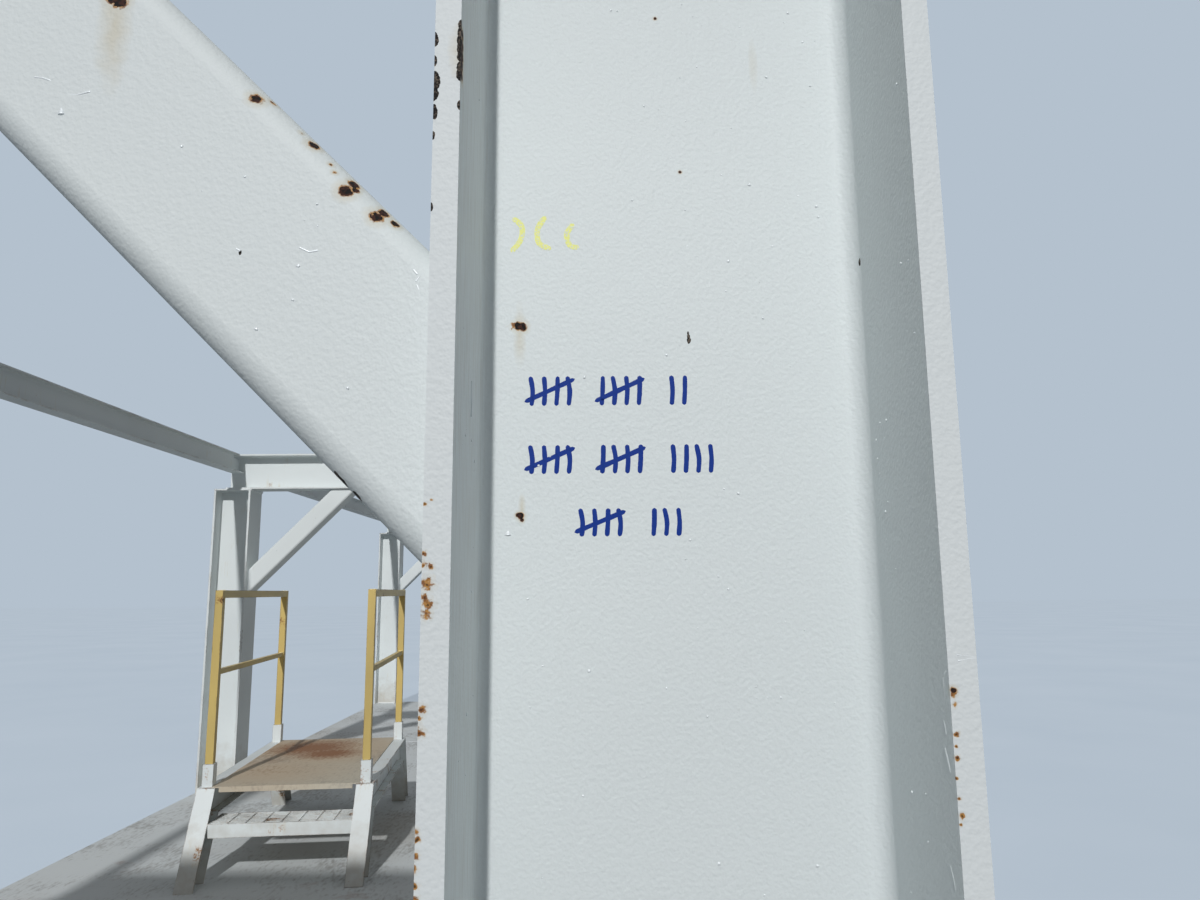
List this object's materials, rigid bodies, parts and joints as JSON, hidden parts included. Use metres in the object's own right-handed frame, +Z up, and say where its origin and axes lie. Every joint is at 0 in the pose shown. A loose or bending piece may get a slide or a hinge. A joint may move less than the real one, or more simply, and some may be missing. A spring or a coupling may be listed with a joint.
{
  "type": "oil drilling rig skid frame",
  "caption": "White open steel frame module of an oil drilling rig: braced portals on a plated skid base, tied by top side beams, with a crossover stair and yellow handrails.",
  "frame": {"origin": "centre of the footprint, on the ground that the runners rest on", "axes": "+X across the frame, to the right seen from the near end; +Y along the frame, from the near end to the far end; +Z up"},
  "size_m": [3.505, 12.802, 2.896],
  "materials": {
    "white_enamel": "white gloss enamel brushed and sprayed over rolled steel, with rust at chipped edges",
    "deck_enamel": "worn pale grey-white deck paint on steel plate",
    "yellow_enamel": "yellow safety enamel, faded",
    "worn_plate": "steel plate with its paint worn off and light rust"
  },
  "bodies": {
    "root": {"base_runner_left": "white_enamel", "base_runner_right": "white_enamel", "base_runner_middle": "white_enamel", "base_end_near": "white_enamel", "base_end_far": "white_enamel", "base_members_left": "white_enamel", "base_members_right": "white_enamel", "column_near_left": "white_enamel", "column_near_right": "white_enamel", "column_middle_left": "white_enamel", "column_middle_right": "white_enamel", "column_far_left": "white_enamel", "column_far_right": "white_enamel", "cap_plates": "white_enamel", "cross_beam_near": "white_enamel", "cross_beam_middle": "white_enamel", "cross_beam_far": "white_enamel", "knee_brace_near_left": "white_enamel", "knee_brace_near_right": "white_enamel", "knee_brace_middle_left": "white_enamel", "knee_brace_middle_right": "white_enamel", "knee_brace_far_left": "white_enamel", "knee_brace_far_right": "white_enamel", "side_beam_near_left": "white_enamel", "side_beam_near_right": "white_enamel", "side_beam_far_left": "white_enamel", "side_beam_far_right": "white_enamel", "stair_frame_left": "white_enamel", "stair_frame_right": "white_enamel", "stair_tread_near": "white_enamel", "stair_tread_far": "white_enamel", "post_sockets": "white_enamel", "deck_plate_near": "deck_enamel", "deck_plate_middle": "deck_enamel", "deck_plate_far": "deck_enamel", "platform_plate": "worn_plate", "handrail_left": "yellow_enamel", "handrail_right": "yellow_enamel"}
  },
  "joints": []
}
